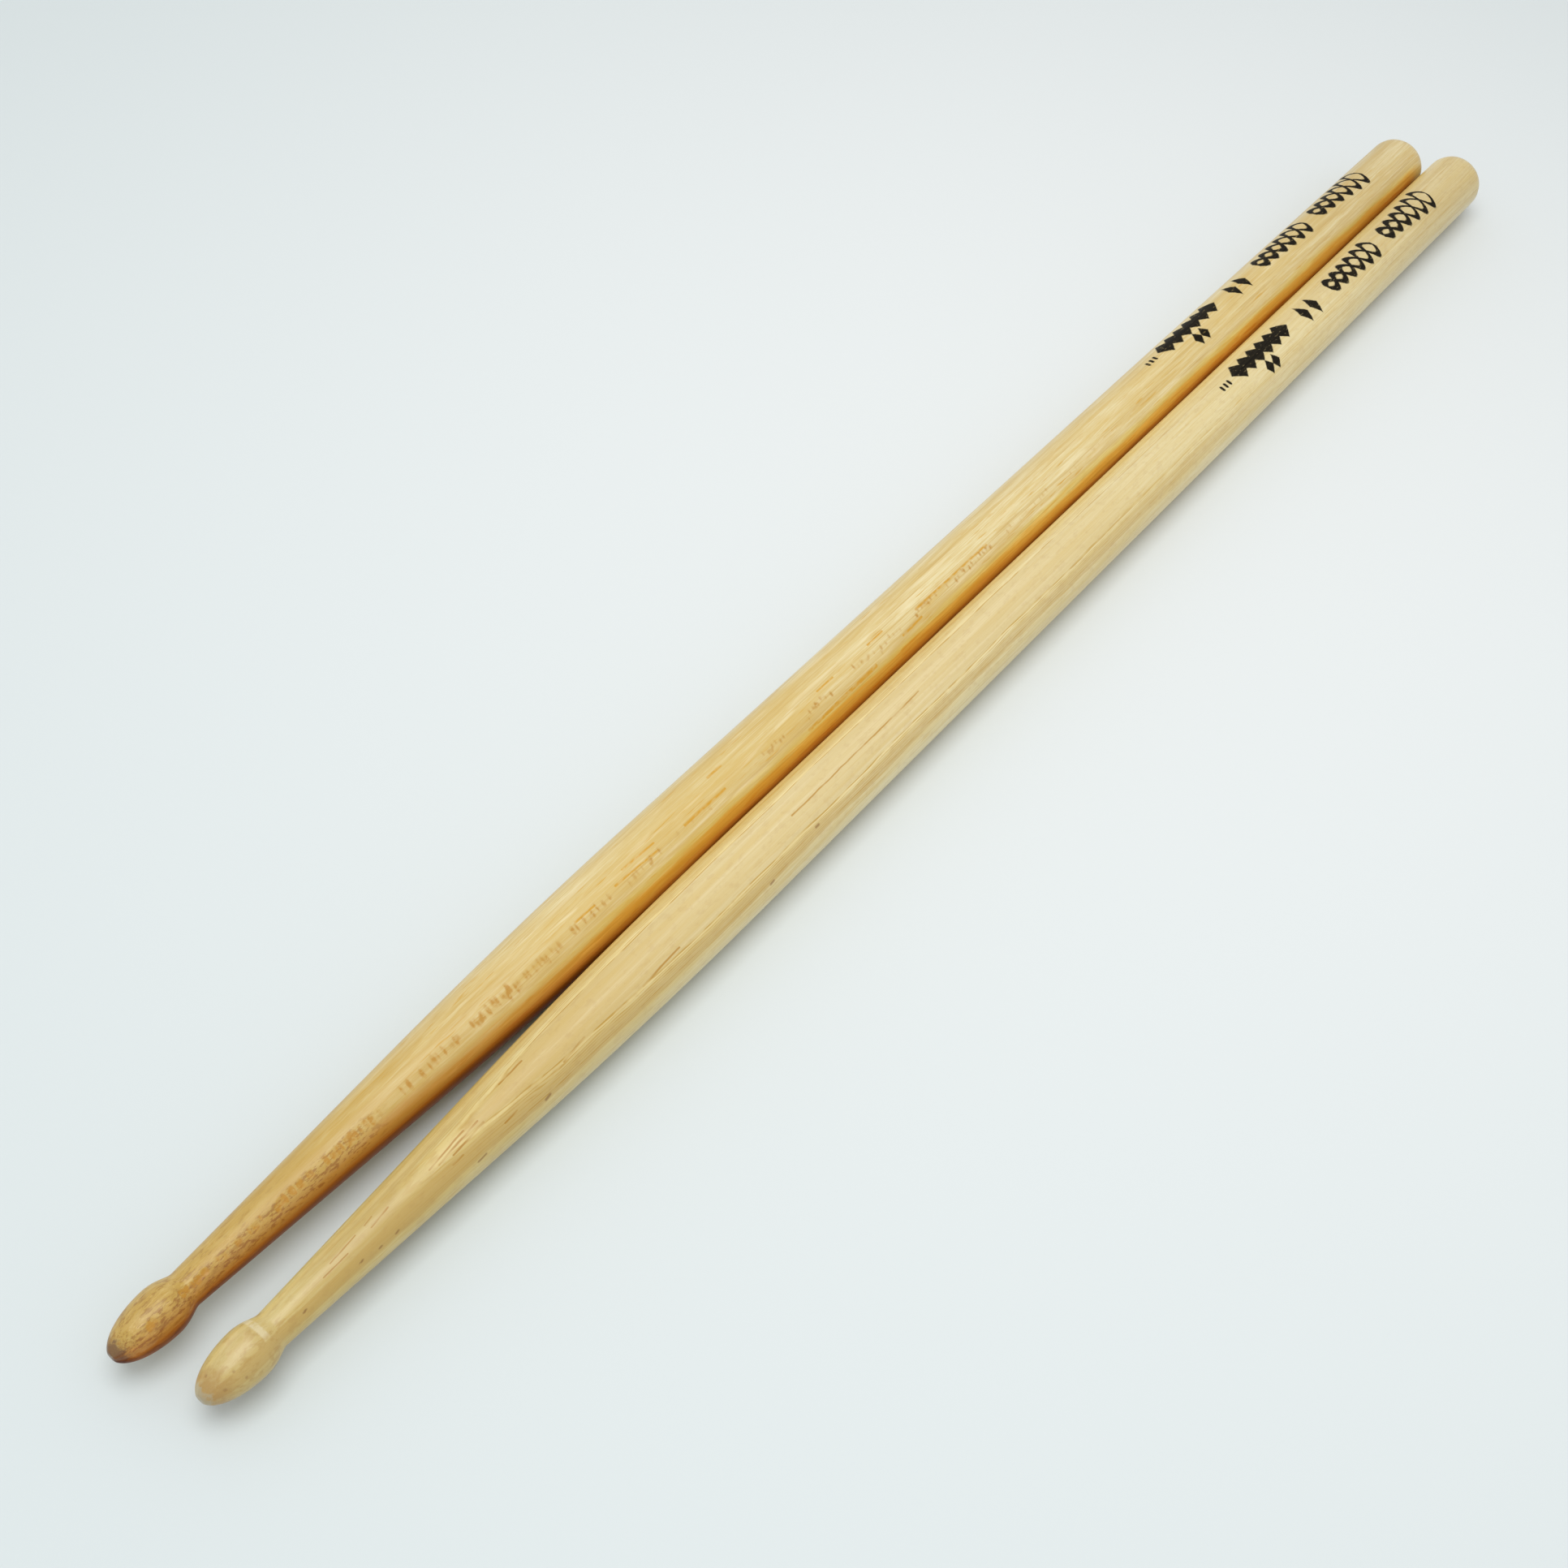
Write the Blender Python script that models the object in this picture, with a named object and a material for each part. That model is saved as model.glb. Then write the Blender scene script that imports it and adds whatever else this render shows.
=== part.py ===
"""A pair of wooden drumsticks, lying side by side on a table.

Metres, +Z up. The origin is on the table, under the middle of the pair.
+X runs from the beads to the butts, and +Y to the left stick.
Each stick is one piece of turned hickory: bead, neck, shoulder, grip and butt.
"""

import math

import bpy

# Driving dimensions
LENGTH = 0.394
GRIP_DIAMETER = 0.0132
BEAD_DIAMETER = 0.0079
NECK_DIAMETER = 0.0058

# Along the axis, from the nose of the bead
BEAD_WIDEST_AT = 0.0085
NECK_AT = 0.0127
BUTT_ROUNDING = 0.0040

# Flats left by the lathe's centres
NOSE_FLAT_RADIUS = 0.0009
BUTT_FLAT_RADIUS = 0.0022

# Slopes, as rise over run, and the curves that blend them
BEAD_BACK_SLOPE = 0.36
BEAD_BACK_CURVE = 0.0075
NECK_FILLET = 0.0020
SHOULDER_SLOPE = 0.051
SHOULDER_CURVE = 1.14

# How the pair lies
GAP_BETWEEN = 0.0003
RIGHT_LEADS_BY = 0.0034

# Facets
SIDES = 40
NOSE_STEPS = 9
BACK_STEPS = 3
FILLET_STEPS = 2
SHOULDER_STEPS = 9
BUTT_STEPS = 6
MERGE_WITHIN = 1e-6

GRIP_RADIUS = GRIP_DIAMETER / 2
BEAD_RADIUS = BEAD_DIAMETER / 2
NECK_RADIUS = NECK_DIAMETER / 2

# Wood colours, as linear RGB
HONEY_HICKORY = (0.66, 0.45, 0.20)
PALE_HICKORY = (0.72, 0.55, 0.30)
WOOD_ROUGHNESS = 0.5


def ellipse_arc(centre, half_length, half_height, start, end, steps):
    """Points on an ellipse, from one angle to another, in radians from the axis direction."""
    points = []
    for step in range(steps + 1):
        angle = start + (end - start) * step / steps
        x = centre[0] + half_length * math.cos(angle)
        radius = centre[1] + half_height * math.sin(angle)
        points.append((x, radius))
    return points


def rounded_corner(corner, angle_in, angle_out, curve, steps):
    """Points on the arc that joins two lines through a corner, tangent to both."""
    turn = angle_out - angle_in
    back_off = curve * math.tan(abs(turn) / 2)
    side = math.copysign(1, turn)
    start_x = corner[0] - back_off * math.cos(angle_in)
    start_radius = corner[1] - back_off * math.sin(angle_in)
    centre_x = start_x - side * curve * math.sin(angle_in)
    centre_radius = start_radius + side * curve * math.cos(angle_in)
    points = []
    for step in range(steps + 1):
        angle = angle_in + turn * step / steps
        x = centre_x + side * curve * math.sin(angle)
        radius = centre_radius - side * curve * math.cos(angle)
        points.append((x, radius))
    return points


def bead_nose():
    """The front of the bead: an ellipse cut off square by the small nose flat."""
    cut = math.asin(NOSE_FLAT_RADIUS / BEAD_RADIUS)
    half_length = BEAD_WIDEST_AT / math.cos(cut)
    centre = (BEAD_WIDEST_AT, 0)
    return ellipse_arc(centre, half_length, BEAD_RADIUS, math.pi - cut, math.pi / 2, NOSE_STEPS)


def bead_back():
    """The curve just behind the widest point, down to the slope of the bead's back."""
    centre = (BEAD_WIDEST_AT, BEAD_RADIUS - BEAD_BACK_CURVE)
    end = math.pi / 2 - math.atan(BEAD_BACK_SLOPE)
    arc = ellipse_arc(centre, BEAD_BACK_CURVE, BEAD_BACK_CURVE, math.pi / 2, end, BACK_STEPS)
    return arc[1:]


def neck():
    """The groove where the back of the bead meets the shoulder."""
    falling = -math.atan(BEAD_BACK_SLOPE)
    rising = math.atan(SHOULDER_SLOPE)
    return rounded_corner((NECK_AT, NECK_RADIUS), falling, rising, NECK_FILLET, FILLET_STEPS)


def shoulder():
    """The long curve from the shoulder's taper into the straight grip."""
    meets_at = NECK_AT + (GRIP_RADIUS - NECK_RADIUS) / SHOULDER_SLOPE
    rising = math.atan(SHOULDER_SLOPE)
    return rounded_corner((meets_at, GRIP_RADIUS), rising, 0, SHOULDER_CURVE, SHOULDER_STEPS)


def butt():
    """The rounded end of the grip, down to the small flat at its centre."""
    centre = (LENGTH - BUTT_ROUNDING, BUTT_FLAT_RADIUS)
    rounding_height = GRIP_RADIUS - BUTT_FLAT_RADIUS
    return ellipse_arc(centre, BUTT_ROUNDING, rounding_height, math.pi / 2, 0, BUTT_STEPS)


def stick_profile():
    """(distance from the nose, radius) of the turned outline, from the nose to the butt."""
    outline = bead_nose() + bead_back() + neck() + shoulder() + butt()
    return [(0, 0)] + outline + [(LENGTH, 0)]


def wood(name, colour):
    material = bpy.data.materials.new(name)
    material.use_nodes = True
    material.diffuse_color = (*colour, 1)
    shader = material.node_tree.nodes["Principled BSDF"]
    shader.inputs["Base Color"].default_value = (*colour, 1)
    shader.inputs["Roughness"].default_value = WOOD_ROUGHNESS
    shader.inputs["Metallic"].default_value = 0
    return material


def turned_mesh(name, profile, material):
    """The outline as a chain of edges, which the stick's Screw modifier turns round the axis."""
    vertices = [(x, 0, radius) for x, radius in profile]
    edges = [(index, index + 1) for index in range(len(profile) - 1)]
    mesh = bpy.data.meshes.new(name)
    mesh.from_pydata(vertices, edges, [])
    mesh.materials.append(material)
    return mesh


def drumstick(name, nose_at, colour):
    """One stick, with its origin on its axis at the nose of the bead."""
    mesh = turned_mesh(name, stick_profile(), wood(name + "_wood", colour))
    stick = bpy.data.objects.new(name, mesh)
    stick.location = nose_at
    bpy.context.scene.collection.objects.link(stick)
    turning = stick.modifiers.new("Turning", "SCREW")
    turning.axis = "X"
    turning.steps = SIDES
    turning.render_steps = SIDES
    turning.use_merge_vertices = True
    turning.merge_threshold = MERGE_WITHIN
    turning.use_smooth_shade = True
    turning.use_normal_flip = True  # faces out, for an outline that runs towards +X
    return stick


def clear_scene():
    for thing in list(bpy.data.objects):
        bpy.data.objects.remove(thing, do_unlink=True)


def main():
    clear_scene()
    left_nose = -(LENGTH + RIGHT_LEADS_BY) / 2
    right_nose = left_nose + RIGHT_LEADS_BY
    aside = GRIP_RADIUS + GAP_BETWEEN / 2
    drumstick("left_stick", (left_nose, aside, GRIP_RADIUS), HONEY_HICKORY)
    drumstick("right_stick", (right_nose, -aside, GRIP_RADIUS), PALE_HICKORY)


main()
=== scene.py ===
import math
import random

import bpy
from mathutils import Matrix, Vector


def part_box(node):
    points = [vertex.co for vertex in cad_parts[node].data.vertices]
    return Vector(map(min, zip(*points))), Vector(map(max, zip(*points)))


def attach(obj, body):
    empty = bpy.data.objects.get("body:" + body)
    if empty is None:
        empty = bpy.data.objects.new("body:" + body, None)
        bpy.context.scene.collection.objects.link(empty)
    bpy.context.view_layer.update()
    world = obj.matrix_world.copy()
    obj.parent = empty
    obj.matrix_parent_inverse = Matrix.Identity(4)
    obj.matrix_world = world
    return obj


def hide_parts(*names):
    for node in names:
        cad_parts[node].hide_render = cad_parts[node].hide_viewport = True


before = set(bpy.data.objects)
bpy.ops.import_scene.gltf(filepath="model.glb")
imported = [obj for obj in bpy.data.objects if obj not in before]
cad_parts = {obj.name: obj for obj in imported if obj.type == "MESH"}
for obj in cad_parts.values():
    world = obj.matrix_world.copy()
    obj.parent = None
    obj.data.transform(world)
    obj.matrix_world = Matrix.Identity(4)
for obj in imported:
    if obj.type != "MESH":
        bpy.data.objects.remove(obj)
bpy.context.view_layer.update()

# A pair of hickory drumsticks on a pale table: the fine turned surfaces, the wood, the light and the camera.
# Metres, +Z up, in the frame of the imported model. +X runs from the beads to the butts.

MM = 0.001
# Smaller than any difference that matters here
TINY = 1e-6

# The turned outline, as the CAD model has it, in metres. The two slopes are rises over runs.
LENGTH = 0.394
GRIP_RADIUS = 0.0066
BEAD_RADIUS = 0.00395
NECK_RADIUS = 0.0029
BEAD_WIDEST_AT = 0.0085
NECK_AT = 0.0127
BUTT_ROUNDING = 0.0040
NOSE_FLAT_RADIUS = 0.0009
BUTT_FLAT_RADIUS = 0.0022
BEAD_BACK_SLOPE = 0.36
BEAD_BACK_CURVE = 0.0075
NECK_FILLET = 0.0020
SHOULDER_SLOPE = 0.051
SHOULDER_CURVE = 1.14

# How many straight steps stand for one arc of it
ARC_STEPS = 24

# How far one degree round the grip is, in millimetres
ARC_PER_DEGREE = GRIP_RADIUS / MM * math.pi / 180

# Creases of more degrees than this stay sharp on the shaded meshes
SHARP_CREASE = 40

# Colours are linear red, green and blue. A tint multiplies a colour, and PLAIN leaves it alone.
PLAIN = (1.0, 1.0, 1.0)
INK = (0.006, 0.005, 0.004)
HELD_TINT = (0.90, 0.89, 0.88)


# ---------------------------------------------------------------- outline

def ellipse_arc(centre, half_length, half_height, start, end):
    """Points (x, radius) on an ellipse. The angles run from +X towards a larger radius, in radians."""
    points = []
    for step in range(ARC_STEPS + 1):
        angle = start + (end - start) * step / ARC_STEPS
        points.append((centre[0] + half_length * math.cos(angle), centre[1] + half_height * math.sin(angle)))
    return points


def rounded_corner(corner, angle_in, angle_out, curve):
    """The arc that rounds a corner. The outline comes in at one slope and leaves at another, in radians."""
    turn = angle_out - angle_in
    back_off = curve * math.tan(abs(turn) / 2)
    side = math.copysign(1, turn)
    start_x = corner[0] - back_off * math.cos(angle_in)
    start_radius = corner[1] - back_off * math.sin(angle_in)
    centre_x = start_x - side * curve * math.sin(angle_in)
    centre_radius = start_radius + side * curve * math.cos(angle_in)
    points = []
    for step in range(ARC_STEPS + 1):
        angle = angle_in + turn * step / ARC_STEPS
        x = centre_x + side * curve * math.sin(angle)
        points.append((x, centre_radius - side * curve * math.cos(angle)))
    return points


def stick_outline():
    """(distance from the nose, radius) from the rim of the nose flat to the rim of the butt flat."""
    cut = math.asin(NOSE_FLAT_RADIUS / BEAD_RADIUS)
    nose_half_length = BEAD_WIDEST_AT / math.cos(cut)
    nose = ellipse_arc((BEAD_WIDEST_AT, 0), nose_half_length, BEAD_RADIUS, math.pi - cut, math.pi / 2)
    falling = math.atan(BEAD_BACK_SLOPE)
    rising = math.atan(SHOULDER_SLOPE)
    back_centre = (BEAD_WIDEST_AT, BEAD_RADIUS - BEAD_BACK_CURVE)
    back = ellipse_arc(back_centre, BEAD_BACK_CURVE, BEAD_BACK_CURVE, math.pi / 2, math.pi / 2 - falling)
    neck = rounded_corner((NECK_AT, NECK_RADIUS), -falling, rising, NECK_FILLET)
    meets_at = NECK_AT + (GRIP_RADIUS - NECK_RADIUS) / SHOULDER_SLOPE
    shoulder = rounded_corner((meets_at, GRIP_RADIUS), rising, 0, SHOULDER_CURVE)
    butt_centre = (LENGTH - BUTT_ROUNDING, BUTT_FLAT_RADIUS)
    butt = ellipse_arc(butt_centre, BUTT_ROUNDING, GRIP_RADIUS - BUTT_FLAT_RADIUS, math.pi / 2, 0)
    return nose + back[1:] + neck + shoulder + butt


def resampled(outline, spacing_at):
    """The outline as evenly spaced points, where spacing_at(x) says how far apart they are."""
    points = [outline[0]]
    travelled, due = 0.0, spacing_at(outline[0][0])
    for (x0, r0), (x1, r1) in zip(outline, outline[1:]):
        run = math.hypot(x1 - x0, r1 - r0)
        while run > 0 and travelled + run >= due:
            share = (due - travelled) / run
            x = x0 + share * (x1 - x0)
            points.append((x, r0 + share * (r1 - r0)))
            due += spacing_at(x)
        travelled += run
    if math.hypot(points[-1][0] - outline[-1][0], points[-1][1] - outline[-1][1]) > TINY:
        points.append(outline[-1])
    return points


# ---------------------------------------------------------------- meshes

def ring_angles(fine_from, fine_to, fine_step, coarse_step):
    """Angles round the stick in degrees, 0 at the top and 90 at +Y, closer together in one sector."""
    angles = []
    angle = fine_from
    while angle < fine_from + 360 - TINY:
        angles.append(angle)
        angle += fine_step if angle < fine_to - TINY else coarse_step
    return angles


def turned_mesh(name, nose, rings, angles, marks_at):
    """
    A closed skin of rings. marks_at(x, angle, radius) gives how far the surface lies under the outline
    there and how dark the mark is, from 0 to 1. The darkness goes to the wood as the attribute "mark".
    """
    vertices, faces, darkness = [(nose[0], nose[1], nose[2])], [], [0.0]
    for x, radius in rings:
        for angle in angles:
            depth, dark = marks_at(x, angle, radius)
            r = radius - depth
            turn = math.radians(angle)
            vertices.append((nose[0] + x, nose[1] + r * math.sin(turn), nose[2] + r * math.cos(turn)))
            darkness.append(dark)
    count = len(angles)
    for side in range(count):
        faces.append((0, 1 + side, 1 + (side + 1) % count))
    for ring in range(len(rings) - 1):
        first, second = 1 + ring * count, 1 + (ring + 1) * count
        for side in range(count):
            after = (side + 1) % count
            faces.append((first + side, second + side, second + after, first + after))
    last = len(vertices)
    vertices.append((nose[0] + LENGTH, nose[1], nose[2]))
    darkness.append(0.0)
    start = 1 + (len(rings) - 1) * count
    for side in range(count):
        faces.append((last, start + (side + 1) % count, start + side))
    mesh = bpy.data.meshes.new(name)
    mesh.from_pydata(vertices, [], faces)
    mesh.attributes.new("mark", "FLOAT", "POINT").data.foreach_set("value", darkness)
    mesh.shade_smooth()
    mesh.set_sharp_from_angle(angle=math.radians(SHARP_CREASE))
    return mesh


def nose_of(node):
    """Where the axis of a stick meets its nose, from the CAD node's own box."""
    low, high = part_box(node)
    return (low.x, (low.y + high.y) / 2, (low.z + high.z) / 2)


# ---------------------------------------------------------------- dents and wear

# Rim dents on the left stick, by stretch: from and to in mm from the nose, how many, how strong
DENT_STRETCHES = (
    (5, 7, 3, 0.7), (11, 16.5, 8, 1.0), (18, 27, 9, 0.6), (28.5, 36, 9, 0.9), (38, 49, 12, 0.7),
    (53, 55, 2, 0.8), (57, 66, 8, 0.6), (68, 70.5, 4, 0.7), (71, 80, 9, 0.7), (80, 88, 8, 0.5),
    (90, 100, 8, 0.6), (103, 112, 7, 0.5), (112, 125, 9, 0.35), (139, 145, 7, 0.45),
    (151, 159, 9, 0.5), (165, 180, 13, 0.45), (184, 191, 7, 0.6), (194, 209, 14, 0.6),
    (213, 230, 11, 0.4), (236, 262, 16, 0.3))
# The sector and the length that hold all of them, in degrees and mm
DENT_SECTOR = (-46, -14)
DENT_LENGTH = (3, 265)
# The line they follow, in degrees, the depth of the strongest, and half its width in mm
DENT_LINE = -29
DENT_DEPTH = 0.09 * MM
DENT_HALF_WIDTH = 0.9
# The chip on the left nose: its length in mm, where it faces and half of its sector in degrees,
# and the most of the radius that it takes
CHIP_LENGTH = 3.2
CHIP_FACES = -35
CHIP_HALF_SECTOR = 85
CHIP_SHARE = 0.42

# Shallow knocks on the right stick: mm from the nose, degrees, half size in degrees, half size in mm
KNOCKS = ((2.6, -52, 12, 0.6), (5.6, -60, 10, 0.5), (4.8, -29, 9, 0.5), (17, -48, 8, 0.7),
          (27, -54, 6, 0.6), (2.2, 18, 12, 0.5))
KNOCK_DEPTH = 0.03 * MM


def near(value, centre, half_width):
    """1 at the centre, falling smoothly to 0 at half_width either side."""
    away = abs(value - centre) / half_width
    return 0.0 if away >= 1 else (1 - away * away) ** 2


def spread_dents():
    """The rim dents: (mm from the nose, degrees, half length in degrees, half width in mm, strength)."""
    chance = random.Random(11)
    dents = []
    for low, high, count, strength in DENT_STRETCHES:
        for number in range(count):
            x = low + (high - low) * (number + chance.uniform(0.15, 0.85)) / count
            angle = DENT_LINE + chance.gauss(0, 2.2)
            # from 60 mm on they get shorter, down to half at 130 mm
            shrink = min(1.0, max(0.5, 1.0 - (x - 60) / 140))
            half_length = chance.uniform(11, 16) * shrink
            half_width = chance.uniform(0.5, 0.75)
            dents.append((x, angle, half_length, half_width, strength * chance.uniform(0.5, 1.0)))
    return dents


RIM_DENTS = spread_dents()


def rolling(x, angle, seed):
    """A soft unevenness of the turned surface, from 0 to 1."""
    wave = math.sin(x / 7.3 + seed) * math.sin(math.radians(angle * 2 + 31 * seed))
    wave += math.sin(x / 2.9 + 2 * seed) * math.sin(math.radians(angle * 5 - x * 3))
    return 0.5 + wave / 4


def worn(x, angle, fades_at, depth, seed):
    """
    How far wear has lowered the surface x mm from the nose. At the top, the bottom and the two sides
    the surface keeps to the outline, so the overall size stays true.
    """
    if x >= fades_at:
        return 0.0
    between_sides = abs(math.sin(math.radians(2 * angle)))
    return depth * between_sides * rolling(x, angle, seed) * (1 - x / fades_at)


def left_marks(x, angle, radius):
    """The left stick: rim dents along one line, a bruised taper and a chipped nose."""
    x_mm = x / MM
    depth, dark = 0.0, 0.0
    if DENT_LENGTH[0] < x_mm < DENT_LENGTH[1] and DENT_SECTOR[0] < angle < DENT_SECTOR[1]:
        for at, turn, half_length, half_width, strength in RIM_DENTS:
            if abs(x_mm - at) < DENT_HALF_WIDTH:
                across = near(angle, turn, half_length)
                depth += DENT_DEPTH * strength * across * near(x_mm, at, DENT_HALF_WIDTH)
                dark = max(dark, strength * across ** 0.6 * near(x_mm, at, half_width))
    depth += worn(x_mm, angle, fades_at=60, depth=0.045 * MM, seed=1.7)
    if x_mm < CHIP_LENGTH:
        bite = near(angle, CHIP_FACES, CHIP_HALF_SECTOR) * (1 - x_mm / CHIP_LENGTH)
        depth = min(depth + CHIP_SHARE * radius * bite, radius * 0.8)
    return depth, min(dark, 1.0)


def right_marks(x, angle, radius):
    """The right stick: almost clean, with a slightly worn taper and a few shallow knocks."""
    x_mm = x / MM
    depth, dark = worn(x_mm, angle, fades_at=40, depth=0.02 * MM, seed=4.1), 0.0
    for at, turn, half_length, half_width in KNOCKS:
        spot = near(angle, turn, half_length) * near(x_mm, at, half_width)
        depth += KNOCK_DEPTH * spot
        dark = max(dark, 0.35 * spot)
    return depth, dark


# ---------------------------------------------------------------- materials

class Shader:
    """Short ways to add nodes to one material."""

    def __init__(self, name):
        self.material = bpy.data.materials.new(name)
        self.material.use_nodes = True
        self.tree = self.material.node_tree
        self.surface = self.tree.nodes["Principled BSDF"]

    def put(self, socket, value):
        """Joins a socket to another, or sets it to a number, a colour or a vector."""
        if isinstance(value, bpy.types.NodeSocket):
            self.tree.links.new(value, socket)
        elif isinstance(value, (tuple, list)) and len(value) == 3 and socket.type == "RGBA":
            socket.default_value = (*value, 1)
        else:
            socket.default_value = value

    def add(self, kind, output, inputs=(), **settings):
        """A new node with its inputs and settings filled in. Returns the output that was asked for."""
        node = self.tree.nodes.new(kind)
        for key, value in settings.items():
            setattr(node, key, value)
        for key, value in dict(inputs).items():
            self.put(node.inputs[key], value)
        return node.outputs[output]

    def math(self, operation, *values, clamp=False):
        """One sum with numbers or sockets. clamp keeps the result from 0 to 1."""
        return self.add("ShaderNodeMath", 0, dict(enumerate(values)), operation=operation, use_clamp=clamp)

    def times(self, *values):
        """All the values multiplied."""
        result = values[0]
        for value in values[1:]:
            result = self.math("MULTIPLY", result, value)
        return result

    def span(self, value, low, high, to_low=0.0, to_high=1.0):
        """value, stretched smoothly from low..high to to_low..to_high."""
        inputs = {"Value": value, "From Min": low, "From Max": high, "To Min": to_low, "To Max": to_high}
        return self.add("ShaderNodeMapRange", "Result", inputs, interpolation_type="SMOOTHSTEP")

    def between(self, value, low, high, soft):
        """1 from low to high, falling smoothly to 0 over soft at either end."""
        rise = self.span(value, low - soft, low)
        fall = self.span(value, high, high + soft, 1.0, 0.0)
        return self.math("MULTIPLY", rise, fall)

    def vector(self, x, y, z):
        """Three values as one vector."""
        return self.add("ShaderNodeCombineXYZ", 0, {0: x, 1: y, 2: z})

    def noise(self, vector, scale=1.0, detail=2.0, roughness=0.5, distortion=0.0):
        """Smooth noise from about 0 to 1 at the place vector."""
        inputs = {"Vector": vector, "Scale": scale, "Detail": detail, "Roughness": roughness,
                  "Distortion": distortion}
        return self.add("ShaderNodeTexNoise", "Fac", inputs, noise_dimensions="3D")

    def centred(self, value, reach):
        """A value from 0 to 1, moved to lie either side of 0, half of reach each way."""
        return self.math("MULTIPLY", self.math("SUBTRACT", value, 0.5), reach)

    def mix(self, amount, first, second, blend="MIX"):
        """first where amount is 0 and second where it is 1."""
        node = self.tree.nodes.new("ShaderNodeMix")
        node.data_type = "RGBA"
        node.blend_type = blend
        self.put(node.inputs[0], amount)
        self.put(node.inputs[6], first)
        self.put(node.inputs[7], second)
        return node.outputs[2]

    def tint(self, amount, colour, tint):
        """colour, multiplied by tint where amount is 1."""
        return self.mix(amount, colour, self.mix(1.0, colour, tint, "MULTIPLY"))

    def stroke_distance(self, place, start, end):
        """Distance in the (x, arc) plane from place to the straight stroke from start to end."""
        along = (end[0] - start[0], end[1] - start[1])
        square = max(along[0] ** 2 + along[1] ** 2, TINY)
        from_start = self.add("ShaderNodeVectorMath", 0, {0: place, 1: (*start, 0)}, operation="SUBTRACT")
        unit = (along[0] / square, along[1] / square, 0)
        share = self.add("ShaderNodeVectorMath", "Value", {0: from_start, 1: unit}, operation="DOT_PRODUCT")
        share = self.math("ADD", share, 0.0, clamp=True)
        reach = self.add("ShaderNodeVectorMath", 0, {0: (*along, 0), "Scale": share}, operation="SCALE")
        away = self.add("ShaderNodeVectorMath", 0, {0: from_start, 1: reach}, operation="SUBTRACT")
        return self.add("ShaderNodeVectorMath", "Value", {0: away}, operation="LENGTH")

    def strokes(self, place, wanted):
        """Nearest distance to the edge of any stroke (start, end, half width): below zero is inside."""
        nearest = None
        for start, end, half_width in wanted:
            edge = self.math("SUBTRACT", self.stroke_distance(place, start, end), half_width)
            nearest = edge if nearest is None else self.math("MINIMUM", nearest, edge)
        return nearest


class Coordinates:
    """The places on one stick, in millimetres from its nose and degrees round it (0 at the top)."""

    def __init__(self, s, nose):
        split = s.tree.nodes.new("ShaderNodeSeparateXYZ")
        s.tree.links.new(s.add("ShaderNodeTexCoord", "Object"), split.inputs[0])
        from_nose = [s.math("SUBTRACT", split.outputs[axis], nose[axis]) for axis in range(3)]
        self.x, self.y, self.z = (s.math("MULTIPLY", part, 1 / MM) for part in from_nose)
        self.angle = s.math("MULTIPLY", s.math("ARCTAN2", self.y, self.z), 180 / math.pi)
        # how far round that is on the grip, and the place on the skin when it is unrolled
        self.arc = s.math("MULTIPLY", self.angle, ARC_PER_DEGREE)
        self.plane = s.vector(self.x, self.arc, 0.0)

    def grain(self, s, stretch, across, shift=0.0):
        """A place for noise along the grain. stretch is its scale lengthwise, across its scale crosswise."""
        return s.vector(s.math("MULTIPLY_ADD", self.x, stretch, shift), s.math("MULTIPLY", self.y, across),
                        s.math("MULTIPLY", self.z, across))

    def wavering(self, s, noise, reach):
        """The place on the unrolled skin, shifted sideways by noise, so that drawn lines aren't straight."""
        return s.vector(self.x, s.math("ADD", self.arc, s.centred(noise, reach)), 0.0)


# The print, in mm from the nose and mm up round the grip. Each dash: start, end, half width
DASHES = (((275.8, 1.9), (276.0, 2.7), 0.36), ((277.2, 1.9), (277.4, 2.7), 0.36),
          ((278.6, 1.9), (278.8, 2.7), 0.36))
# Each diamond: middle, half length along the stick, half height round it
DIAMONDS = [((283.6 + 3.6 * step, 2.8), 2.9, 2.5) for step in range(6)]
DIAMONDS += [((290.7, -1.3), 1.4, 1.8), ((293.3, -1.3), 1.4, 1.8)]
DIAMONDS += [((310.8, 1.9), 1.5, 2.8), ((315.0, 1.9), 1.5, 2.8)]
# Each braid: from, to, wave length, height at the first and the last end
BRAIDS = ((322.5, 344.5, 7.3, 1.5, 2.6), (349.0, 371.5, 7.5, 1.6, 3.3))
BRAID_MIDDLE = 2.3
BRAID_HALF_LINE = 0.56


def diamond_edge(s, x, up, diamond):
    """Roughly how far a place is from the edge of one diamond: below zero is inside."""
    (middle_x, middle_up), half_length, half_height = diamond
    over = s.math("MULTIPLY", s.math("ABSOLUTE", s.math("SUBTRACT", x, middle_x)), 1 / half_length)
    side = s.math("MULTIPLY", s.math("ABSOLUTE", s.math("SUBTRACT", up, middle_up)), 1 / half_height)
    inside = s.math("SUBTRACT", s.math("ADD", over, side), 1.0)
    return s.math("MULTIPLY", inside, min(half_length, half_height) * 0.8)


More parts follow.
